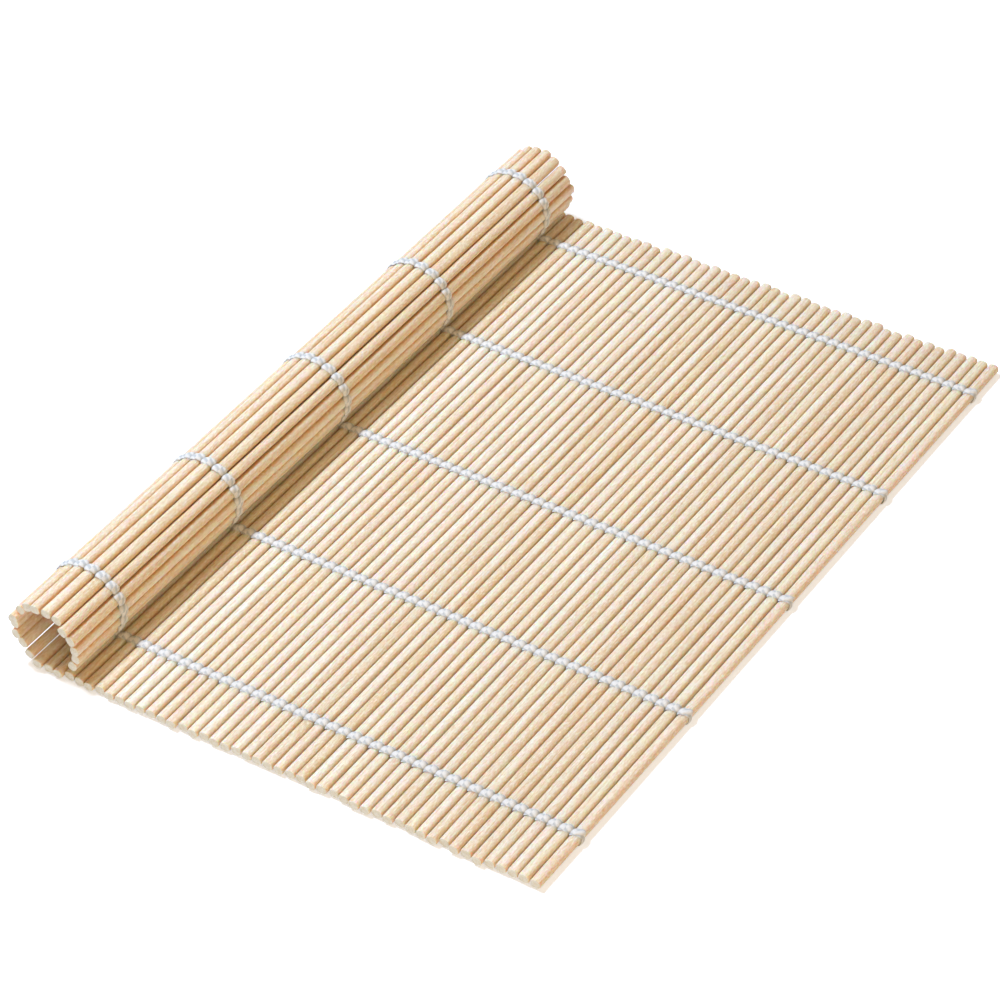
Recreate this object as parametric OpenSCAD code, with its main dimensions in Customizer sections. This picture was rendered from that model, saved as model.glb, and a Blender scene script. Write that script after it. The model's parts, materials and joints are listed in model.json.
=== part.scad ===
// Rolling mat of bamboo slats, bound side by side by twined cotton strings.
// One end is curled up into a ring, and the rest lies flat.
// Millimetres. X runs along the strings, Y along the slats, Z is up.
// Slats are numbered from the free edge of the flat part to the tip of the ring.

/* [Slats] */
// Length of a slat
slat_len = 240; // [150:1:320]
// Mean width of a slat
slat_w = 2.95; // [2.6:0.05:4]
// How far the widths of the slats differ from the mean
slat_w_vary = 0.15; // [0:0.01:0.25]
// Thickness of a slat
slat_t = 2.8; // [2.2:0.1:3.2]
// Radius of a slat's eased edges
slat_edge_r = 0.7; // [0.5:0.05:0.9]
// Open gap between two slats
slat_gap = 0.45; // [0.4:0.05:0.8]

/* [Mat] */
// Slats in the flat part
flat_slats = 46; // [30:1:46]
// Slats in the curled ring
ring_slats = 16; // [13:1:16]
// Height of the ring's last slat above the flat slats
tip_gap = 1.1; // [1:0.1:4]
// Pairs of slats that are kept in one piece at the free edge
slat_pairs = 7; // [7:1:12]

/* [Strings] */
// Number of strings
strings = 5; // [2:1:5]
// Distance from the near ends of the slats to the first string
near_margin = 19.8; // [8:0.1:28]
// Distance from the last string to the far ends of the slats
far_margin = 14.2; // [8:0.1:28]
// Height that a strand stands above a slat
strand_h = 0.45; // [0.3:0.05:0.48]
// Width of one strand
strand_w = 2; // [1.2:0.1:2.4]
// Bevel on each side of a strand's crown
strand_bevel = 0.4; // [0.1:0.05:0.5]
// Half of the sideways shift between the two ends of a stitch
strand_shift = 0.5; // [0.3:0.05:0.55]
// Height of the crossing where the strands pass each other in a gap
cross_h = 0.5; // [0.3:0.05:0.7]
// How far the strands of neighbouring stitches run into each other at a crossing
cross_lap = 0.05; // [0.02:0.01:0.1]
// Clearance between a string and the slats
string_seat = 0.03; // [0.02:0.01:0.06]
// Length of the finishing knot
knot_len = 2.2; // [1.6:0.1:4]
// Radius of the finishing knot
knot_r = 0.8; // [0.6:0.05:1.2]

/* [Hidden] */
slats = flat_slats + ring_slats;
string_pitch = (slat_len - near_margin - far_margin) / (strings - 1);
// Facets of a quarter turn on a slat's edge
edge_steps = 2;
// The step from one slat's width to the next is an uneven angle, so the widths never repeat
width_step_deg = 137;
// A stitch stays this much further back than the fold of the ring needs
fold_spare_deg = 1;
// Search range for the ring's whole turn
least_turn_deg = 250;
most_turn_deg = 335;
search_steps = 40;

// Widths and steps of the slats
function slat_width(i) = slat_w + slat_w_vary * sin(i * width_step_deg);
function slat_step(i) = slat_width(i) + slat_gap;

// A slat is turned by one bend for each gap between it and the flat part
function slat_turn(i, bend) = max(0, i - flat_slats + 1) * bend;
function slat_heading(i, bend) = [-cos(slat_turn(i, bend)), sin(slat_turn(i, bend))];
function slat_start(i, bend) =
    i == 0 ? [0, 0] : slat_start(i - 1, bend) + slat_step(i - 1) * slat_heading(i - 1, bend);
function slat_centre(i, bend) = slat_start(i, bend) + slat_step(i) / 2 * slat_heading(i, bend);

// Lowest point of the last slat, measured from the top of the flat slats
function tip_height(bend) =
    let (
        last = slats - 1,
        turn = slat_turn(last, bend),
        across = abs(sin(turn)) * (slat_width(last) / 2 - slat_edge_r),
        through = abs(cos(turn)) * (slat_t / 2 - slat_edge_r)
    )
    slat_centre(last, bend)[1] - across - through - slat_edge_r - slat_t / 2;

// The ring's bend is the one that brings its last slat down to the tip gap
function find_bend(low, high, steps) =
    let (middle = (low + high) / 2)
    steps == 0 ? middle :
    tip_height(middle) > tip_gap ? find_bend(middle, high, steps - 1) :
    find_bend(low, middle, steps - 1);
ring_bend = find_bend(least_turn_deg / ring_slats, most_turn_deg / ring_slats, search_steps);

// Where everything stands: the strings' undersides touch the table, and the origin is in the middle
mid_height = slat_t / 2 + strand_h;
centres = [for (i = [0:slats - 1]) slat_centre(i, ring_bend)];
outline_left = min([
    for (i = [0:slats - 1]) centres[i][0] - mid_height * sin(slat_turn(i, ring_bend))
]);
outline_right = 0;
middle_x = (outline_left + outline_right) / 2;

// The slats by node: pairs at the free edge, then single slats up to the tip
slat_groups = concat(
    [for (i = [0:slat_pairs - 1]) [2 * i, 2 * i + 1]],
    [for (i = [2 * slat_pairs:slats - 1]) [i]]
);
function two_digits(n) = n < 10 ? str("0", n) : str(n);
function slat_name(group) =
    len(group) == 1 ? str("slat_", two_digits(group[0] + 1)) :
    str("slat_", two_digits(group[0] + 1), "_", two_digits(group[1] + 1));
function string_name(n) = str("string_", n);

// Corner points of a bar with eased edges, in flat facets
function eased_bar(w, t, r) = [
    for (corner = [0:3])
        let (
            right = corner == 0 || corner == 3 ? 1 : -1,
            top = corner < 2 ? 1 : -1
        )
        for (step = [0:edge_steps])
            let (angle = 90 * (corner + step / edge_steps))
            [right * (w / 2 - r) + r * cos(angle), top * (t / 2 - r) + r * sin(angle)]
];

// Puts its children in a slat's own place, with the slat along Y and its upper face up
module at_slat(i) {
    translate([centres[i][0] - middle_x, 0, centres[i][1] + mid_height])
        rotate([0, slat_turn(i, ring_bend), 0])
            children();
}

module along_y(length) {
    rotate([90, 0, 0])
        linear_extrude(height = length, center = true)
            children();
}

module slat(i) {
    color("burlywood")
        at_slat(i)
            along_y(slat_len)
                polygon(eased_bar(slat_width(i), slat_t, slat_edge_r));
}

module slat_group(group) {
    for (i = group)
        slat(i);
}

// The string seen along Y: it reaches the crossing on each side of the slat, and leans back from there
module string_section(i) {
    crown = slat_t / 2 + strand_h;
    foot = slat_step(i) / 2 + cross_lap;
    foot_h = cross_h / 2;
    top = slat_step(i) / 2 - crown * tan(ring_bend / 2 + fold_spare_deg);
    difference() {
        polygon([
            [foot, foot_h], [top, crown], [-top, crown], [-foot, foot_h],
            [-foot, -foot_h], [-top, -crown], [top, -crown], [foot, -foot_h]
        ]);
        polygon(eased_bar(slat_width(i) + 2 * string_seat, slat_t + 2 * string_seat, slat_edge_r + string_seat));
    }
}

// One strand seen along its own length: straight sides and a bevelled crown
module strand_section() {
    side = strand_w / 2;
    crown = slat_t / 2 + strand_h;
    polygon([
        [-side, -cross_h / 2], [side, -cross_h / 2],
        [side, crown - strand_bevel], [side - strand_bevel, crown],
        [strand_bevel - side, crown], [-side, crown - strand_bevel]
    ]);
}

// One strand over a slat, slanting from one side of the string to the other
module strand_over(i) {
    slant = atan(2 * strand_shift / slat_step(i));
    intersection() {
        along_y(4 * strand_w)
            string_section(i);
        rotate([0, 0, slant])
            rotate([90, 0, 90])
                linear_extrude(height = 2 * slat_step(i), center = true)
                    strand_section();
    }
}

// The two strands at a slat: one over it, and one under it with the opposite slant
module stitch(i) {
    strand_over(i);
    rotate([180, 0, 0])
        strand_over(i);
}

// The knot that ends the string, on the last slat's upper face
module finishing_knot() {
    at_slat(slats - 1)
        translate([0, 0, slat_t / 2 + string_seat + knot_r])
            rotate([90, 0, 0])
                cylinder(h = knot_len, r = knot_r, center = true, $fn = 8);
}

module string_line(n) {
    color("whitesmoke")
        translate([0, near_margin + (n - 1) * string_pitch - slat_len / 2, 0]) {
            for (i = [0:slats - 1])
                at_slat(i)
                    stitch(i);
            finishing_knot();
        }
}

for (group = slat_groups)
    slat_group(group);
for (n = [1:strings])
    string_line(n);
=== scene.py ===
# %% [markdown]
# # A bamboo rolling mat, curled up at one end
# The mat is made of slim bamboo slats. Five cotton strings hold them side by side. Each string is two
# yarns that pass one over and one under every slat, and change places in every gap. Nothing else holds the
# mat together, so the gaps are also its hinges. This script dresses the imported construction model: it reads
# where each slat lies, models one slat and the yarns of one gap, and lays copies of them along the whole mat.

# %% Start from the fixed frame
import json
import math

import bpy
import numpy as np
from mathutils import Matrix, Vector

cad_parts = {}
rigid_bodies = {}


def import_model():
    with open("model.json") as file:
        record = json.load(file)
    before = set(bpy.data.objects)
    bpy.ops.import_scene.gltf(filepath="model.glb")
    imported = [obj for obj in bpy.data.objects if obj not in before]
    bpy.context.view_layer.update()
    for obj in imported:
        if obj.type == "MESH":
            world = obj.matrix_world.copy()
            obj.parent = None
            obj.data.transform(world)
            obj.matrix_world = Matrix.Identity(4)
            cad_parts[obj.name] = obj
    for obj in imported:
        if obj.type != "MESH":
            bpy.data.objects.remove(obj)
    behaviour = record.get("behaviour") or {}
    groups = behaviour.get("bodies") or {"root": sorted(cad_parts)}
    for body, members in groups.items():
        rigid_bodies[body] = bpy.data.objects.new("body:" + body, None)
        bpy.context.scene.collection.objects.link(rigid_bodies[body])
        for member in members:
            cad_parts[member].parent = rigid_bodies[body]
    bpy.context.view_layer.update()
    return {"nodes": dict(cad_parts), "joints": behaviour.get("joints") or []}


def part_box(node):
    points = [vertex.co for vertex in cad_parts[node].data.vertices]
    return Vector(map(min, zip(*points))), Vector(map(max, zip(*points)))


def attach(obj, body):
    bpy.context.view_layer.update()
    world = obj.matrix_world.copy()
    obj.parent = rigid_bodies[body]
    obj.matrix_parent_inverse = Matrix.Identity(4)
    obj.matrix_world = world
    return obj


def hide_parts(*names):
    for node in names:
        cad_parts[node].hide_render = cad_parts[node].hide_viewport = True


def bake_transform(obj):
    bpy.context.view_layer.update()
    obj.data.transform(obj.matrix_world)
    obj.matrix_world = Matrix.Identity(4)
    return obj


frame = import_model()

MM = 0.001
TINY = 0.001 * MM
chance = np.random.default_rng(23)

# %% [markdown]
# ## Where the slats lie
# Every slat and string has a place in the construction model, and nothing here may move it. A slat is seen
# end on, as a point in the XZ plane with a heading: the way along the mat, from the free edge to the tip of
# the curl. The joints give the hinge lines between slats, and a heading is the way from one hinge line to
# the next. Seven nodes hold two slats each. Those are flat, so their own gap lies half way between the two.

# %% Read every slat's place from the frame
class Slat:
    """One slat as seen along Y: its node, its middle, and later its heading and its size."""

    def __init__(self, node, points):
        self.node = node
        self.points = points
        self.middle = (points.min(0) + points.max(0)) / 2

    def measure(self, heading):
        self.heading = heading / np.linalg.norm(heading)
        self.up = np.array([self.heading[1], -self.heading[0]])
        self.width = np.ptp(self.points @ self.heading)
        self.thickness = np.ptp(self.points @ self.up)
        self.middle = (
            self.heading * self.middle_along(self.heading) + self.up * self.middle_along(self.up)
        )

    def middle_along(self, way):
        return ((self.points @ way).min() + (self.points @ way).max()) / 2


def read_slats():
    """All slats in order. The node of a pair is parted in the middle, and its first slat is on the right."""
    found = {}
    for name, node in frame["nodes"].items():
        if not name.startswith("slat_"):
            continue
        points = np.array([v.co for v in node.data.vertices])[:, [0, 2]]
        numbers = [int(part) for part in name.split("_")[1:]]
        if len(numbers) == 1:
            found[numbers[0]] = Slat(name, points)
            continue
        half_way = (points[:, 0].min() + points[:, 0].max()) / 2
        found[numbers[0]] = Slat(name, points[points[:, 0] > half_way])
        found[numbers[1]] = Slat(name, points[points[:, 0] < half_way])
    return [found[number] for number in sorted(found)]


slats = read_slats()
joint_places = {
    (joint["parent"], joint["child"]): np.array(joint["pos_m"])[[0, 2]] for joint in frame["joints"]
}


def hinge_between(right, left):
    """The line that two neighbours turn about, or the middle of the gap inside a pair."""
    if right.node != left.node:
        return joint_places[right.node, left.node]
    gap_middle = (right.points[:, 0].min() + left.points[:, 0].max()) / 2
    return np.array([gap_middle, right.middle[1]])


hinges = [hinge_between(right, left) for right, left in zip(slats, slats[1:])]
for slat, before, after in zip(slats, [slats[0].middle, *hinges], [*hinges, slats[-1].middle]):
    slat.measure(after - before)
slat_low, slat_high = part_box(slats[0].node)
slat_length = slat_high.y - slat_low.y
slat_thickness = slats[0].thickness
mean_width = float(np.mean([slat.width for slat in slats]))
print(len(slats), "slats, mean width in mm:", round(mean_width / MM, 3))

# %% Read where the strings cross the slats
string_nodes = sorted(name for name in frame["nodes"] if name.startswith("string_"))
string_places = [(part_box(name)[0].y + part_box(name)[1].y) / 2 for name in string_nodes]
strand_proud = slats[0].points[:, 1].min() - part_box(string_nodes[0])[0].z
print(len(string_nodes), "strings, proud by mm:", round(strand_proud / MM, 3))

# %% [markdown]
# ## Small helpers
# Operators act on whatever is selected, and the frame's nodes come in selected. So each step starts with
# nothing selected. Finished pieces keep their object at the origin, and their place is in their mesh.

# %% Helpers for selecting and shaping
def alone(piece):
    """Select one piece and nothing else."""
    bpy.ops.object.select_all(action="DESELECT")
    piece.select_set(True)
    bpy.context.view_layer.objects.active = piece


def edit_edges(piece, wanted):
    """Enter edit mode with only those edges selected for which wanted(end, other end) is true."""
    alone(piece)
    for part in (piece.data.vertices, piece.data.edges, piece.data.polygons):
        part.foreach_set("select", np.zeros(len(part), bool))
    bpy.ops.object.mode_set(mode="EDIT")
    bpy.ops.mesh.select_mode(type="EDGE")
    bpy.ops.object.mode_set(mode="OBJECT")
    points = [v.co.copy() for v in piece.data.vertices]
    for edge in piece.data.edges:
        a, b = edge.vertices
        edge.select = bool(wanted(points[a], points[b]))
    bpy.ops.object.mode_set(mode="EDIT")


def leave_edit():
    bpy.ops.object.mode_set(mode="OBJECT")


def turn_faces_out(piece):
    alone(piece)
    bpy.ops.object.mode_set(mode="EDIT")
    bpy.ops.mesh.select_all(action="SELECT")
    bpy.ops.mesh.normals_make_consistent(inside=False)
    leave_edit()


def points_of(mesh):
    points = np.zeros(len(mesh.vertices) * 3)
    mesh.vertices.foreach_get("co", points)
    return points.reshape(-1, 3)


def in_space(place, y):
    """Points in space, from places in the XZ plane and how far each is along Y."""
    return np.column_stack([place[:, 0], y, place[:, 1]])


def copy_of(master, name, points):
    """A new piece with the master's faces and its own points, at the origin."""
    mesh = master.data.copy()
    mesh.name = name
    mesh.vertices.foreach_set("co", np.asarray(points, float).ravel())
    mesh.update()
    piece = bpy.data.objects.new(name, mesh)
    bpy.context.scene.collection.objects.link(piece)
    return piece


def point_value(piece, name, values):
    """One number for each point of a piece, which its material reads by name."""
    attribute = piece.data.attributes.new(name, "FLOAT", "POINT")
    attribute.data.foreach_set("value", np.asarray(values, np.float32))


# %% [markdown]
# ## A slat
# A slat is split from a bamboo stem, planed to a bar and tumbled, which rounds its long edges, crowns its
# upper and lower face and eases the cut ends. A cube is the right start. Its long edges get a wide bevel and
# its end edges a narrow one, and the faces between are cut lengthwise, so that they can be crowned. The slat
# is cut into short lengths as well, so that each copy can be bowed a little.

# %% Model one slat
EDGE_RADIUS = 0.62 * MM
EDGE_STEPS = 4
END_EASE = 0.16 * MM
END_STEPS = 2
CROWN_CUTS = 3
LENGTHS = 12

bpy.ops.object.select_all(action="DESELECT")
bpy.ops.mesh.primitive_cube_add(size=1, location=(0, 0, 0), scale=(mean_width, slat_length, slat_thickness))
master_slat = bpy.context.object
master_slat.name = "master_slat"
bpy.ops.object.transform_apply(location=False, rotation=False, scale=True)
corner = Vector((mean_width, slat_length, slat_thickness)) / 2


def runs_along(a, b):
    return abs(a.y - b.y) > TINY and abs(a.x - b.x) < TINY and abs(a.z - b.z) < TINY


def is_long_corner(a, b):
    return runs_along(a, b) and abs(abs(a.x) - corner.x) < TINY and abs(abs(a.z) - corner.z) < TINY


def crosses_a_flat_face(a, b):
    return abs(a.x - b.x) > EDGE_RADIUS and min(abs(a.z), abs(b.z)) > corner.z - TINY


def on_an_end(a, b):
    return min(abs(a.y), abs(b.y)) > corner.y - TINY


edit_edges(master_slat, runs_along)
bpy.ops.mesh.subdivide(number_cuts=LENGTHS - 1)
leave_edit()
edit_edges(master_slat, is_long_corner)
bpy.ops.mesh.bevel(offset=EDGE_RADIUS, offset_type="OFFSET", segments=EDGE_STEPS, profile=0.5)
leave_edit()
edit_edges(master_slat, crosses_a_flat_face)
bpy.ops.mesh.subdivide(number_cuts=CROWN_CUTS)
leave_edit()
edit_edges(master_slat, on_an_end)
bpy.ops.mesh.bevel(offset=END_EASE, offset_type="OFFSET", segments=END_STEPS, profile=0.5)
leave_edit()
print("one slat has", len(master_slat.data.polygons), "faces")

# %% [markdown]
# ## The bamboo
# Bamboo has long straight fibres, so its grain is noise that is stretched along the slat. Slats come from
# different stems: each carries a number for its tone, from pale cream through pink to straw, and one for its
# darkness. Long patches shift the tone along a slat, and small pale and tan flecks break up the grain. The
# sides are a little more orange than the faces: partly their own tan, partly painted warm shade. A few slats
# cross one of the stem's nodes, a thin darker ring. The cut ends show the fibres as dots.

# %% Helpers for materials
def new_material(name):
    material = bpy.data.materials.new(name)
    material.use_nodes = True
    tree = material.node_tree
    return material, tree, tree.nodes["Principled BSDF"]


def add_node(tree, kind, inputs=None, **settings):
    """A node with its settings. An input is a value, or another node's output to link it to."""
    node = tree.nodes.new(kind)
    for key, value in settings.items():
        setattr(node, key, value)
    for key, value in (inputs or {}).items():
        socket = node.inputs[key]
        if isinstance(value, bpy.types.NodeSocket):
            tree.links.new(value, socket)
        else:
            socket.default_value = value
    return node


def arithmetic(tree, operation, a, b=0.0, c=0.0):
    return add_node(tree, "ShaderNodeMath", {0: a, 1: b, 2: c}, operation=operation).outputs[0]


def mix_colour(tree, share, a, b):
    """Colour a where share is 0 and colour b where it is 1. Sockets 6 and 7 are the node's two colours."""
    return add_node(tree, "ShaderNodeMix", {0: share, 6: a, 7: b}, data_type="RGBA").outputs[2]


def number_of(tree, name):
    return add_node(tree, "ShaderNodeAttribute", attribute_name=name).outputs["Fac"]


def spread_out(tree, value, low, high):
    """Stretch a value so that low becomes 0 and high becomes 1, and stop it there."""
    return add_node(
        tree, "ShaderNodeMapRange", {"Value": value, "From Min": low, "From Max": high}
    ).outputs[0]


def stretched_noise(tree, streak, detail, roughness=0.6):
    """Noise in streaks, whose width and length are given in metres."""
    wide, long = streak
    place = add_node(tree, "ShaderNodeTexCoord").outputs["Object"]
    mapped = add_node(
        tree, "ShaderNodeMapping", {"Vector": place, "Scale": (1 / wide, 1 / long, 1 / wide)}
    ).outputs[0]
    return add_node(
        tree, "ShaderNodeTexNoise", {"Vector": mapped, "Scale": 1.0, "Detail": detail, "Roughness": roughness}
    ).outputs["Fac"]


def srgb(red, green, blue):
    """A colour as it looks on screen, 0 to 255, as the shader wants it."""
    def linear(c):
        c = c / 255
        return c / 12.92 if c <= 0.04045 else ((c + 0.055) / 1.055) ** 2.4
    return (linear(red), linear(green), linear(blue), 1.0)


# %% The bamboo materials
CREAM = srgb(241, 236, 219)
PINK = srgb(242, 226, 207)
STRAW = srgb(240, 230, 202)
# Partly the sides' own tan and partly painted warm shade on them
TAN = srgb(216, 182, 132)
SIDE_TAN_AND_SHADE = srgb(226, 185, 134)
WHITE_FLECK = srgb(251, 245, 229)
STEM_NODE = srgb(176, 130, 84)
END_CREAM = srgb(248, 244, 230)
FIBRE_DOT = srgb(190, 150, 105)

# Width and length of a streak
PATCH_SIZE = (2.0 * MM, 10 * MM)
GRAIN_SIZE = (0.5 * MM, 16 * MM)
FIBRE_SIZE = (0.24 * MM, 2.6 * MM)
FLECK_SIZE = (0.3 * MM, 1.1 * MM)

# The level of the noise at which each colour starts, and the one at which it is full
GRAIN_LEVELS = (0.42, 0.72)
FIBRE_LEVELS = (0.52, 0.66)
PALE_LEVELS = (0.5, 0.72)
DEEP_LEVELS = (0.48, 0.3)

# How much of each colour is mixed in where it is full
GRAIN_SHARE = 0.55
FIBRE_SHARE = 0.4
DARK_SHARE = 0.36
SIDE_TAN_AND_SHADE_SHARE = 0.42
PALE_SHARE = 0.7
DEEP_SHARE = 0.4
RING_SHARE = 0.4

# How far a patch moves the slat's tone
PATCHINESS = 1.5

# Distance in mm from the middle of a stem node's ring at which its colour starts, and at which it is full
RING_EDGES = (0.9, 0.25)

# How rough the surface is where the grain is 0, and how much rougher where it is 1
ROUGH_BASE = 0.42
ROUGH_GRAIN = 0.22
FIBRE_HEIGHT = 0.4

DOTS_PER_MM = 3.6
DOT_RADIUS = 0.27
DOT_SHARE = 0.45
CLOUDS_PER_MM = 0.9
CLOUD_LEVELS = (0.35, 0.7)


def bamboo_colour(tree):
    patch = stretched_noise(tree, PATCH_SIZE, 5.0, 0.72)
    away_from_mean = arithmetic(tree, "SUBTRACT", patch, 0.5)
    tone = arithmetic(tree, "MULTIPLY_ADD", away_from_mean, PATCHINESS, number_of(tree, "tone"))
    body = mix_colour(tree, spread_out(tree, tone, 0.0, 0.5), CREAM, PINK)
    body = mix_colour(tree, spread_out(tree, tone, 0.5, 1.0), body, STRAW)

    grain = stretched_noise(tree, GRAIN_SIZE, 4.0)
    fibre = stretched_noise(tree, FIBRE_SIZE, 2.0)
    streak = arithmetic(tree, "MULTIPLY", spread_out(tree, grain, *GRAIN_LEVELS), GRAIN_SHARE)
    streak = arithmetic(tree, "MULTIPLY_ADD", spread_out(tree, fibre, *FIBRE_LEVELS), FIBRE_SHARE, streak)
    darker = arithmetic(tree, "MULTIPLY_ADD", number_of(tree, "dark"), DARK_SHARE, streak)
    body = mix_colour(tree, arithmetic(tree, "MINIMUM", darker, 1.0), body, TAN)
    # The sides get their own tan and painted warm shade
    body = mix_colour(tree, arithmetic(tree, "MULTIPLY", number_of(tree, "side"), SIDE_TAN_AND_SHADE_SHARE), body, SIDE_TAN_AND_SHADE)

    fleck = stretched_noise(tree, FLECK_SIZE, 2.0)
    pale = arithmetic(tree, "MULTIPLY", spread_out(tree, fleck, *PALE_LEVELS), PALE_SHARE)
    body = mix_colour(tree, pale, body, WHITE_FLECK)
    deep = arithmetic(tree, "MULTIPLY", spread_out(tree, fleck, *DEEP_LEVELS), DEEP_SHARE)
    body = mix_colour(tree, deep, body, TAN)

    away = arithmetic(tree, "ABSOLUTE", number_of(tree, "from_stem_node"))
    ring = arithmetic(tree, "MULTIPLY", spread_out(tree, away, *RING_EDGES), RING_SHARE)
    return mix_colour(tree, ring, body, STEM_NODE), grain, fibre


def bamboo_material():
    material, tree, shader = new_material("bamboo")
    colour, grain, fibre = bamboo_colour(tree)
    tree.links.new(colour, shader.inputs["Base Color"])
    rough = arithmetic(tree, "MULTIPLY_ADD", grain, ROUGH_GRAIN, ROUGH_BASE)
    tree.links.new(rough, shader.inputs["Roughness"])
    shader.inputs["Specular IOR Level"].default_value = 0.35
    shader.inputs["Subsurface Weight"].default_value = 0.8
    shader.inputs["Subsurface Radius"].default_value = (1.0, 0.45, 0.18)
    shader.inputs["Subsurface Scale"].default_value = 2.2 * MM
    height = arithmetic(tree, "MULTIPLY_ADD", fibre, FIBRE_HEIGHT, grain)
    bump = add_node(tree, "ShaderNodeBump", {"Height": height, "Strength": 0.5, "Distance": 0.05 * MM})
    tree.links.new(bump.outputs[0], shader.inputs["Normal"])
    return material


def bamboo_end_material():
    material, tree, shader = new_material("bamboo_cut_end")
    place = add_node(tree, "ShaderNodeTexCoord").outputs["Object"]
    flat = add_node(tree, "ShaderNodeMapping", {"Vector": place, "Scale": (1 / MM, 0, 1 / MM)}).outputs[0]
    cells = add_node(tree, "ShaderNodeTexVoronoi", {"Vector": flat, "Scale": DOTS_PER_MM})
    dots = cells.outputs["Distance"]
    noise = add_node(tree, "ShaderNodeTexNoise", {"Vector": flat, "Scale": CLOUDS_PER_MM, "Detail": 3.0})
    wood = mix_colour(tree, spread_out(tree, noise.outputs["Fac"], *CLOUD_LEVELS), END_CREAM, STRAW)
    dot = arithmetic(tree, "MULTIPLY", arithmetic(tree, "LESS_THAN", dots, DOT_RADIUS), DOT_SHARE)
    tree.links.new(mix_colour(tree, dot, wood, FIBRE_DOT), shader.inputs["Base Color"])
    shader.inputs["Roughness"].default_value = 0.8
    bump = add_node(tree, "ShaderNodeBump", {"Height": dots, "Strength": 0.4, "Distance": 0.06 * MM})
    tree.links.new(bump.outputs[0], shader.inputs["Normal"])
    return material


bamboo = bamboo_material()
bamboo_end = bamboo_end_material()

# %% [markdown]
# ## Sixty-two slats, no two alike
# Each copy takes its own width from the construction model. It also gets a slight bow, a width and thickness
# that wander along its length, a small lean, and ends that aren't quite level with its neighbours'. These
# stay small against the gap. The upper faces of the curl's slats look inwards. They are made a little wider,
# so that neighbours about meet there and little light shows between them. The curl's ends are less even as
# well, and its slats' sides get more of the painted warm shade, for the warmer light inside the roll.

# %% Lay the slats
CROWN = 0.36
BOW = 0.09 * MM
WANDER = 0.045
LEAN = math.radians(6)
LEAN_WANDER = 0.4
END_SPREAD = 0.5 * MM
SIDE_SHARPNESS = 4
CURL_BEGINS = math.radians(10)
CURL_END_SPREAD = 1.1 * MM
CURL_WEDGE = 0.115
# The curl's slats get this much more painted warm shade on their sides
CURL_PAINTED_SHADE = 2.05
STEM_NODE_SHARE = 0.08
STEM_NODE_REACH = 0.45
NO_STEM_NODE = 2.0
END_FACING = 0.9
WAVE_TURNS = (0.6, 2.4)
WAVE_SHARES = (0.5, 1.0)
SLAT_SMOOTH = math.radians(50)

across, along, through = points_of(master_slat.data).T
off_centre = np.abs(across) / across.max()
through = through * (1 - CROWN * off_centre ** 2)
# How far each point is towards a long side, for the sides' tan and painted warm shade
side_tan_and_shade_mask = off_centre ** SIDE_SHARPNESS
upper_half = np.clip(through, 0, None) / through.max()
master_slat.data.materials.append(bamboo)
master_slat.data.materials.append(bamboo_end)
for face in master_slat.data.polygons:
    face.material_index = int(abs(face.normal.y) > END_FACING)


def waves(count):
    """A smooth random curve along the slat, with values from -1 to 1."""
    phases = chance.uniform(0, 2 * math.pi, count)
    turns = chance.uniform(*WAVE_TURNS, count)
    shares = chance.uniform(*WAVE_SHARES, count)
    angles = 2 * math.pi * np.outer(turns, along) / slat_length + phases[:, None]
    return shares @ np.sin(angles) / shares.sum()


def lay_slat(slat, number):
    curled = slat.heading @ slats[0].heading < math.cos(CURL_BEGINS)
    width_scale = slat.width / mean_width * (1 + WANDER * 0.5 * waves(3))
    x = across * width_scale * (1 + CURL_WEDGE * curled * upper_half) + BOW * waves(2)
    z = through * (1 - WANDER * 0.5 * (1 + waves(3))) + BOW * waves(2)
    lean = LEAN * (chance.uniform(-1, 1) + LEAN_WANDER * waves(2))
    x, z = x * np.cos(lean) - z * np.sin(lean), x * np.sin(lean) + z * np.cos(lean)
    spread = CURL_END_SPREAD if curled else END_SPREAD
    y = along * (1 + chance.uniform(-1, 1) * spread / slat_length) + chance.uniform(-1, 1) * spread
    place = slat.middle - np.outer(x, slat.heading) + np.outer(z, slat.up)
    piece = copy_of(master_slat, f"bamboo_slat_{number:02d}", in_space(place, y))
    # The sides' own tan and painted warm shade, with more painted shade on the curl
    point_value(piece, "side", side_tan_and_shade_mask * (CURL_PAINTED_SHADE if curled else 1))
    point_value(piece, "tone", np.full(len(y), chance.uniform(0, 1)))
    point_value(piece, "dark", np.full(len(y), chance.uniform(0, 1) ** 2))
    has_stem_node = chance.uniform() < STEM_NODE_SHARE
    stem_node = chance.uniform(-STEM_NODE_REACH, STEM_NODE_REACH) if has_stem_node else NO_STEM_NODE
    point_value(piece, "from_stem_node", (y - stem_node * slat_length) / MM)
    return piece


for number, slat in enumerate(slats, 1):
    piece = lay_slat(slat, number)
    alone(piece)
    bpy.ops.object.shade_smooth_by_angle(angle=SLAT_SMOOTH)
    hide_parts(slat.node)
    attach(piece, slat.node)
bpy.data.objects.remove(master_slat)
print("laid", len(slats), "slats")

# %% [markdown]
# ## The yarns
# A string is two cotton yarns. In every gap one of them comes down from the top of its slat, the other comes
# up from below, and they pass each other side by side. So the piece that repeats is one gap: both yarns of
# all five strings, from the middle of one slat to the middle of the next. A cylinder is added for each yarn
# and cut into rings. The angle and the height of each of its points then say where it goes on the real path.

# %% Model the yarns of one gap as straight tubes
TUBE_SIDES = 8
TUBE_RINGS = 7
TUBE_SPACING = 4.0
TUBE_HEIGHT = 1.0


def is_upright(a, b):
    return abs(a.z - b.z) > TUBE_HEIGHT / 2


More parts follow.
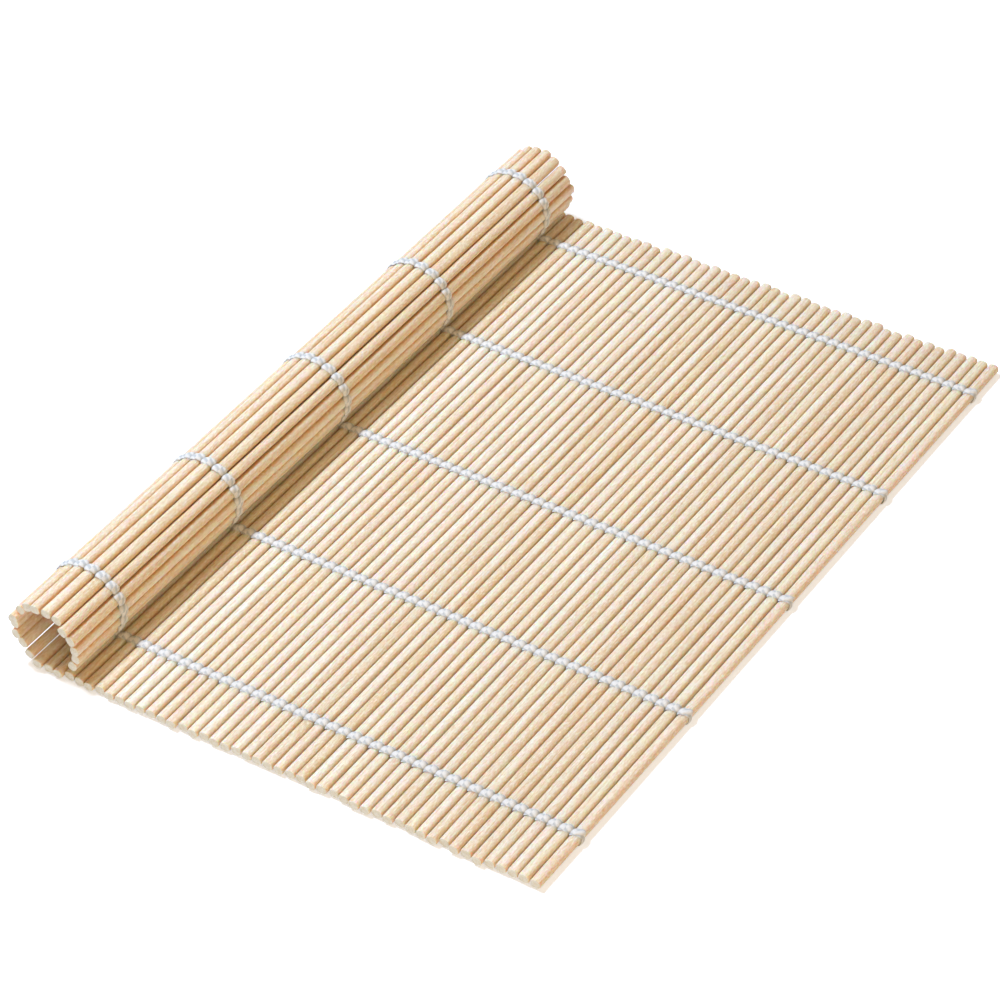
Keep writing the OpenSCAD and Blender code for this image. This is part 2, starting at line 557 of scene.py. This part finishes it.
tubes = []
for number in range(2 * len(string_nodes)):
    bpy.ops.object.select_all(action="DESELECT")
    bpy.ops.mesh.primitive_cylinder_add(
        vertices=TUBE_SIDES,
        radius=1,
        depth=TUBE_HEIGHT,
        location=(TUBE_SPACING * number, 0, TUBE_HEIGHT / 2),
        end_fill_type="NGON",
    )
    tube = bpy.context.object
    bpy.ops.object.transform_apply(location=True, rotation=False, scale=False)
    edit_edges(tube, is_upright)
    bpy.ops.mesh.subdivide(number_cuts=TUBE_RINGS - 1)
    leave_edit()
    tubes.append(tube)
bpy.ops.object.select_all(action="DESELECT")
for tube in tubes:
    tube.select_set(True)
bpy.context.view_layer.objects.active = tubes[0]
bpy.ops.object.join()
straight_yarns = bpy.context.object
straight_yarns.name = "straight_yarns"
print("the yarns of one gap have", len(straight_yarns.data.polygons), "faces")

# %% [markdown]
# ## The way of a yarn
# From the top of its slat a yarn runs level, turns down round the slat's edge, drops through the gap, and
# turns round the next slat's edge to run level again. Where it lies on a slat it spreads out, with a domed
# outer side. In the gap it is narrow, and leans aside to let the other yarn pass.

# %% The path and the thickness of a yarn
# Half a yarn's thickness, half its width on a slat, and half its width in a gap
YARN_THIN = strand_proud / 2
YARN_WIDE = 1.45 * MM
YARN_IN_GAP = 0.55 * MM

# How far the sides of a yarn on a slat lie below its middle
YARN_DOME = 0.15 * MM

# How far a yarn leans aside in the gap
YARN_SHIFT = 0.34 * MM
WRAP_RADIUS = 1.05 * MM
BEND_ZONE = 0.35 * MM
WIDENS_EARLY = 1.6
GAP_SHADE_ENDS_EARLY = 1.5
YARN_SMOOTH = math.radians(70)

tube_points = points_of(straight_yarns.data)
tube_number = np.round(tube_points[:, 0] / TUBE_SPACING).astype(int)
turn = np.arctan2(tube_points[:, 1], tube_points[:, 0] - tube_number * TUBE_SPACING)
share = np.clip(tube_points[:, 2] / TUBE_HEIGHT, 0, 1)
string_y = np.array(string_places)[tube_number // 2]
goes_down = tube_number % 2 == 0

# 1 in the middle of a slat, and 0 in the middle of the gap
on_slat = np.abs(np.cos(math.pi * share))


def ease(value):
    value = np.clip(value, 0, 1)
    return value * value * (3 - 2 * value)


def two_corners(reach_before, reach_after, height):
    """The way down past a slat's edge: level, round a corner, down, round a corner, and level again.

    It gives how far each point is along the first and the last level run, how far it has turned at each
    corner, and how high it is.
    """
    quarter = WRAP_RADIUS * math.pi / 2
    drop = 2 * (height - WRAP_RADIUS)
    runs = np.cumsum([reach_before - WRAP_RADIUS, quarter, drop, quarter, reach_after - WRAP_RADIUS])
    done = share * runs[-1]
    first_run = np.minimum(done, runs[0])
    last_run = np.clip(done - runs[3], 0, None)
    first_turn = np.clip(done - runs[0], 0, quarter) / WRAP_RADIUS
    last_turn = np.clip(done - runs[2], 0, quarter) / WRAP_RADIUS
    dropped = np.clip(done - runs[1], 0, drop)
    level = height - WRAP_RADIUS * (1 - np.cos(first_turn) + np.sin(last_turn)) - dropped
    return first_run, last_run, first_turn, last_turn, level


def crossing_path(reach_before, reach_after, height):
    """From the top of one slat, down through the gap and on under the next: place and direction."""
    first_run, last_run, first_turn, last_turn, level = two_corners(reach_before, reach_after, height)
    corners = WRAP_RADIUS * (np.sin(first_turn) + 1 - np.cos(last_turn))
    steep = first_turn - last_turn
    return first_run + corners + last_run - reach_before, level, np.cos(steep), -np.sin(steep)


def yarn_section(outwards):
    """Where each point lies from the middle of its yarn: through the yarn's thickness, and along Y."""
    wide = YARN_IN_GAP + (YARN_WIDE - YARN_IN_GAP) * ease(WIDENS_EARLY * on_slat)
    dome = YARN_DOME * ease(on_slat) * np.sin(turn) ** 2
    return YARN_THIN * np.cos(turn) - outwards * dome, wide * np.sin(turn)


def turned_by(way, angles):
    """One way in the XZ plane, turned by each of many angles."""
    cos, sin = np.cos(angles), np.sin(angles)
    return np.column_stack([cos * way[0] - sin * way[1], sin * way[0] + cos * way[1]])


def lay_yarns(right, left, hinge, number):
    """The yarns of one gap, laid out flat about its hinge line and then bent there."""
    height = (right.thickness + left.thickness) / 4 + YARN_THIN
    before = np.linalg.norm(hinge - right.middle)
    after = np.linalg.norm(left.middle - hinge)
    q, h, run_q, run_h = crossing_path(before, after, height)
    flip = np.where(goes_down, 1.0, -1.0)
    h, run_h = h * flip, run_h * flip
    thin, aside = yarn_section(np.sign(h))
    q, h = q - thin * run_h, h + thin * run_q
    y = string_y - flip * YARN_SHIFT * np.sin(math.pi * share) + aside
    bend = math.atan2(
        right.heading[0] * left.heading[1] - right.heading[1] * left.heading[0], right.heading @ left.heading
    )
    ahead = turned_by(right.heading, bend * ease((q + BEND_ZONE) / (2 * BEND_ZONE)))
    up = np.column_stack([ahead[:, 1], -ahead[:, 0]])
    place = hinge + q[:, None] * ahead + h[:, None] * up
    piece = copy_of(straight_yarns, f"cotton_gap_{number:02d}", in_space(place, y))
    # Painted shade where the yarn dips into the gap
    point_value(piece, "painted_gap_shade", 1 - ease(GAP_SHADE_ENDS_EARLY * on_slat))
    return piece


# %% [markdown]
# ## The cotton
# White cotton looks white only against bamboo. A yarn is three plies twisted together, with painted pale grey
# shade in the grooves between them, and a little grey fuzz. Where it dips into a gap, painted shade makes it
# a darker and cooler grey. The twist follows the tube's own UV map, round the yarn and along it, so it bends
# with the yarn.

# %% The cotton material
COTTON_LIGHT = srgb(240, 234, 224)
# Painted shade in the grooves between the plies, and the grey of the fuzz
COTTON_GROOVE_SHADE_AND_FUZZ = srgb(200, 200, 196)
# Painted shade of the yarn in a gap, darker and cooler
COTTON_GAP_SHADE = srgb(130, 137, 144)
PLIES = 3.0
TWISTS = 3.0
GROOVE_LEVELS = (0.1, 1.0)
FUZZ_SCALE = 4200.0
FUZZ_LEVELS = (0.48, 0.7)
FUZZ_SHARE = 0.5
FUZZ_HEIGHT = 0.8
GAP_SHADE_SHARE = 0.8


def cotton_material():
    material, tree, shader = new_material("twisted_cotton")
    uv = add_node(tree, "ShaderNodeUVMap").outputs[0]
    parts = add_node(tree, "ShaderNodeSeparateXYZ", {0: uv})
    around, down = parts.outputs[0], parts.outputs[1]
    turned = arithmetic(tree, "MULTIPLY_ADD", down, -TWISTS, arithmetic(tree, "MULTIPLY", around, PLIES))
    ply = arithmetic(tree, "COSINE", arithmetic(tree, "MULTIPLY", turned, 2 * math.pi))
    place = add_node(tree, "ShaderNodeTexCoord").outputs["Object"]
    noise = add_node(tree, "ShaderNodeTexNoise", {"Vector": place, "Scale": FUZZ_SCALE, "Detail": 3.0})
    fuzz = noise.outputs["Fac"]
    # Painted shade in the ply grooves, plus grey fuzz specks
    groove_shade = spread_out(tree, ply, *GROOVE_LEVELS)
    shade = arithmetic(tree, "MULTIPLY_ADD", spread_out(tree, fuzz, *FUZZ_LEVELS), FUZZ_SHARE, groove_shade)
    colour = mix_colour(tree, arithmetic(tree, "MINIMUM", shade, 1.0), COTTON_LIGHT, COTTON_GROOVE_SHADE_AND_FUZZ)
    # Paint the gap shade onto the yarn
    painted_gap_shade = arithmetic(tree, "MULTIPLY", number_of(tree, "painted_gap_shade"), GAP_SHADE_SHARE)
    tree.links.new(mix_colour(tree, painted_gap_shade, colour, COTTON_GAP_SHADE), shader.inputs["Base Color"])
    shader.inputs["Roughness"].default_value = 0.85
    shader.inputs["Specular IOR Level"].default_value = 0.2
    shader.inputs["Sheen Weight"].default_value = 0.25
    height = arithmetic(tree, "MULTIPLY_ADD", fuzz, FUZZ_HEIGHT, arithmetic(tree, "MULTIPLY", ply, -1.0))
    bump = add_node(tree, "ShaderNodeBump", {"Height": height, "Strength": 0.8, "Distance": 0.16 * MM})
    tree.links.new(bump.outputs[0], shader.inputs["Normal"])
    return material


cotton = cotton_material()
straight_yarns.data.materials.clear()
straight_yarns.data.materials.append(cotton)

# %% [markdown]
# ## Bending in the gaps
# Where two slats are turned against each other, the yarns between them are laid bent. Each gap's piece lies
# along one slat before the hinge line, along the other slat after it, and turns smoothly between the two.
# Only the pieces inside a pair are fixed to a slat; the others stay where they are laid.

# %% Lay the yarns of every gap
for number, (right, left, hinge) in enumerate(zip(slats, slats[1:], hinges), 1):
    piece = lay_yarns(right, left, hinge, number)
    alone(piece)
    bpy.ops.object.shade_smooth_by_angle(angle=YARN_SMOOTH)
    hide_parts(*string_nodes)
    if right.node == left.node:
        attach(piece, right.node)
        continue
    ahead = right.heading + left.heading
    ahead = Vector((ahead[0], 0, ahead[1])).normalized() * BEND_ZONE
    line = Vector((hinge[0], 0, hinge[1]))
    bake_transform(piece)
print("laid the yarns of", len(hinges), "gaps")

# %% [markdown]
# ## The ends of the strings
# At the free edge each string starts as a loop round the first slat, where its two yarns are one. At the tip
# of the curl the yarns meet round the last slat, and a small overhand knot on top of it ends each string.

# %% The loops round the first and the last slat
def lay_loops(slat, outwards, name):
    """The yarns of all strings round one outer side of a slat."""
    height = slat.thickness / 2 + YARN_THIN
    reach = slat.width / 2 + YARN_THIN
    first_run, last_run, first_turn, last_turn, h = two_corners(reach, reach, height)
    q = first_run - last_run + WRAP_RADIUS * (np.sin(first_turn) - 1 + np.cos(last_turn))
    steep = first_turn + last_turn
    thin, aside = yarn_section(1)
    q, h = q + thin * np.sin(steep), h + thin * np.cos(steep)
    y = string_y + outwards * YARN_SHIFT * np.sin(2 * math.pi * share) + aside
    place = slat.middle - outwards * q[:, None] * slat.heading + h[:, None] * slat.up
    return copy_of(straight_yarns, name, in_space(place, y))


def keep_one_tube_each(piece):
    """A loop needs one tube for each string, so every second tube goes."""
    alone(piece)
    bpy.ops.object.mode_set(mode="EDIT")
    bpy.ops.mesh.select_mode(type="VERT")
    bpy.ops.mesh.select_all(action="DESELECT")
    leave_edit()
    piece.data.vertices.foreach_set("select", ~goes_down)
    bpy.ops.object.mode_set(mode="EDIT")
    bpy.ops.mesh.delete(type="VERT")
    leave_edit()


for slat, outwards, name in ((slats[0], 1, "cotton_start_loops"), (slats[-1], -1, "cotton_end_loops")):
    piece = lay_loops(slat, outwards, name)
    keep_one_tube_each(piece)
    turn_faces_out(piece)
    bpy.ops.object.shade_smooth_by_angle(angle=YARN_SMOOTH)
    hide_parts(*string_nodes)
    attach(piece, slat.node)

# %% [markdown]
# ## The knots
# An overhand knot whose ends are joined is a trefoil, and a trefoil has a formula. So a torus is bent along
# it: each of its points keeps its angle round the tube, and its angle round the torus becomes its place on
# the line. Each knot is turned by a random angle.

# %% The knots at the tip
KNOT_RADIUS = 0.42 * MM
KNOT_SPREAD = 0.3 * MM
KNOT_DEPTH = 1.3
KNOT_RISE = 0.5 * MM
KNOT_SIDES = 8
KNOT_RINGS = 48
KNOT_TWISTS = 4
SMALL_STEP = 0.01


def knot_line(t):
    """The trefoil's middle line, at the angles t."""
    return KNOT_SPREAD * np.column_stack([
        np.sin(t) + 2 * np.sin(2 * t), np.cos(t) - 2 * np.cos(2 * t), -KNOT_DEPTH * np.sin(3 * t)
    ])


def unit(ways):
    return ways / np.linalg.norm(ways, axis=1)[:, None]


bpy.ops.object.select_all(action="DESELECT")
bpy.ops.mesh.primitive_torus_add(
    major_segments=KNOT_RINGS, minor_segments=KNOT_SIDES, major_radius=1, minor_radius=0.3, generate_uvs=True
)
master_knot = bpy.context.object
master_knot.data.materials.append(cotton)
for loop_uv in master_knot.data.uv_layers.active.data:
    along_knot, round_yarn = loop_uv.uv
    loop_uv.uv = (round_yarn, along_knot * KNOT_TWISTS)

torus = points_of(master_knot.data)
turn_round = np.arctan2(torus[:, 1], torus[:, 0])
turn_tube = np.arctan2(torus[:, 2], np.hypot(torus[:, 0], torus[:, 1]) - 1)
line = knot_line(turn_round)
ahead = unit(knot_line(turn_round + SMALL_STEP) - knot_line(turn_round - SMALL_STEP))
aside = unit(np.cross(ahead, [0, 0, 1]))
over = np.cross(aside, ahead)
knot_shape = line + KNOT_RADIUS * (np.cos(turn_tube)[:, None] * aside + np.sin(turn_tube)[:, None] * over)

tip = slats[-1]
rise = tip.thickness / 2 + strand_proud + KNOT_RISE
for number, y in enumerate(string_places, 1):
    spin = Matrix.Rotation(chance.uniform(0, 2 * math.pi), 3, "Z")
    shape = knot_shape @ np.array(spin).T
    place = tip.middle + np.outer(shape[:, 0], tip.heading) + np.outer(shape[:, 2] + rise, tip.up)
    knot = copy_of(master_knot, f"cotton_knot_{number}", in_space(place, y + shape[:, 1]))
    turn_faces_out(knot)
    bpy.ops.object.shade_smooth()
    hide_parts(f"string_{number}")
    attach(knot, tip.node)
bpy.data.objects.remove(master_knot)
bpy.data.objects.remove(straight_yarns)

# %% [markdown]
# ## The stage
# The mat lies on a plain pale surface. What the camera sees of it, also mirrored or through glass, glows a
# little. The glow grows with the distance from the mat, up to the white of the world, so the floor has no
# visible edge. No other ray meets the glow, so the light on the bamboo doesn't change.

# %% The floor
FLOOR_SIZE = 20.0
FLOOR_DROP = 0.02 * MM
FLOOR_COLOUR = (0.8, 0.8, 0.8, 1)
GLOW_NEAR = 0.5
GLOW_GROWS = (0.3, 0.9)
WHITE = (1, 1, 1, 1)


def seen_plainly(tree):
    """1 for the camera, and for what it sees mirrored in gloss or through glass, and otherwise 0."""
    path = add_node(tree, "ShaderNodeLightPath").outputs
    either = arithmetic(tree, "MAXIMUM", path["Is Camera Ray"], path["Is Glossy Ray"])
    return arithmetic(tree, "MAXIMUM", either, path["Is Transmission Ray"])


bpy.ops.object.select_all(action="DESELECT")
bpy.ops.mesh.primitive_plane_add(size=FLOOR_SIZE, location=(0, 0, -FLOOR_DROP))
floor = bpy.context.object
floor.name = "floor"
floor_material, tree, shader = new_material("white_floor")
shader.inputs["Base Color"].default_value = FLOOR_COLOUR
shader.inputs["Roughness"].default_value = 0.9
shader.inputs["Emission Color"].default_value = WHITE
place = add_node(tree, "ShaderNodeTexCoord").outputs["Object"]
distance = add_node(tree, "ShaderNodeVectorMath", {0: place}, operation="LENGTH").outputs["Value"]
glow = arithmetic(tree, "MULTIPLY_ADD", spread_out(tree, distance, *GLOW_GROWS), 1 - GLOW_NEAR, GLOW_NEAR)
tree.links.new(arithmetic(tree, "MULTIPLY", seen_plainly(tree), glow), shader.inputs["Emission Strength"])
floor.data.materials.append(floor_material)

# %% [markdown]
# ## Light
# The light is that of a soft studio. The key lamp is high over the curled end, so the curl throws its shadow
# along the mat. It is a little cool, which keeps the tops of the slats a neutral cream. A big warm lamp at
# the front right and a warm world fill the rest, so the shade between and under the slats is a warm brown.
# For the camera the world is plain white.

# %% The lamps and the world
KEY_DIRECTION = Vector((-0.39, -0.05, 0.9))
KEY_SIZE = 0.22
KEY_POWER = 11.2
KEY_COLOUR = (0.785, 1.0, 1.34)
FRONT_DIRECTION = Vector((0.75, -0.6, 0.3))
FRONT_SIZE = 0.9
FRONT_POWER = 3.8
FRONT_COLOUR = (1.0, 0.8, 0.52)
LAMP_DISTANCE = 1.1
WORLD_LEVEL = 0.34
WORLD_COLOUR = (1.0, 0.73, 0.42, 1)


def lamp(name, direction, size, power, colour):
    data = bpy.data.lights.new(name, "AREA")
    data.shape = "DISK"
    data.size = size
    data.energy = power
    data.color = colour
    light = bpy.data.objects.new(name, data)
    bpy.context.scene.collection.objects.link(light)
    light.location = direction.normalized() * LAMP_DISTANCE
    light.rotation_euler = direction.to_track_quat("Z", "Y").to_euler()


lamp("key_lamp", KEY_DIRECTION, KEY_SIZE, KEY_POWER, KEY_COLOUR)
lamp("front_lamp", FRONT_DIRECTION, FRONT_SIZE, FRONT_POWER, FRONT_COLOUR)

world = bpy.data.worlds.new("white_room")
bpy.context.scene.world = world
world.use_nodes = True
tree = world.node_tree
background = tree.nodes["Background"]
plain = seen_plainly(tree)
strength = arithmetic(tree, "MULTIPLY_ADD", plain, 1 - WORLD_LEVEL, WORLD_LEVEL)
tree.links.new(strength, background.inputs["Strength"])
tree.links.new(mix_colour(tree, plain, WORLD_COLOUR, WHITE), background.inputs["Color"])

# %% [markdown]
# ## The camera
# The camera looks down on the mat from its near right corner. It is far away, so the slats hardly converge.

# %% The camera
VIEW_AZIMUTH = math.radians(35.1)
VIEW_ELEVATION = math.radians(39.95)
VIEW_ROLL = math.radians(-2.71)
VIEW_DISTANCE = 1.0999
AIM_RIGHT = -6.4 * MM
AIM_UP = 3.29 * MM
LENS = 144.0
SENSOR = 36.0

sin_a, cos_a = math.sin(VIEW_AZIMUTH), math.cos(VIEW_AZIMUTH)
sin_e, cos_e = math.sin(VIEW_ELEVATION), math.cos(VIEW_ELEVATION)
back = Vector((cos_e * sin_a, -cos_e * cos_a, sin_e))
level_right = Vector((cos_a, sin_a, 0))
level_up = back.cross(level_right)
right_way = math.cos(VIEW_ROLL) * level_right + math.sin(VIEW_ROLL) * level_up
up_way = math.cos(VIEW_ROLL) * level_up - math.sin(VIEW_ROLL) * level_right
camera_data = bpy.data.cameras.new("camera")
camera_data.lens = LENS
camera_data.sensor_width = SENSOR
camera = bpy.data.objects.new("camera", camera_data)
bpy.context.scene.collection.objects.link(camera)
turned = Matrix((right_way, up_way, back)).transposed()
camera.matrix_world = Matrix.Translation(
    back * VIEW_DISTANCE + right_way * AIM_RIGHT + up_way * AIM_UP
) @ turned.to_4x4()
bpy.context.scene.camera = camera
bpy.context.scene.view_settings.view_transform = "Standard"
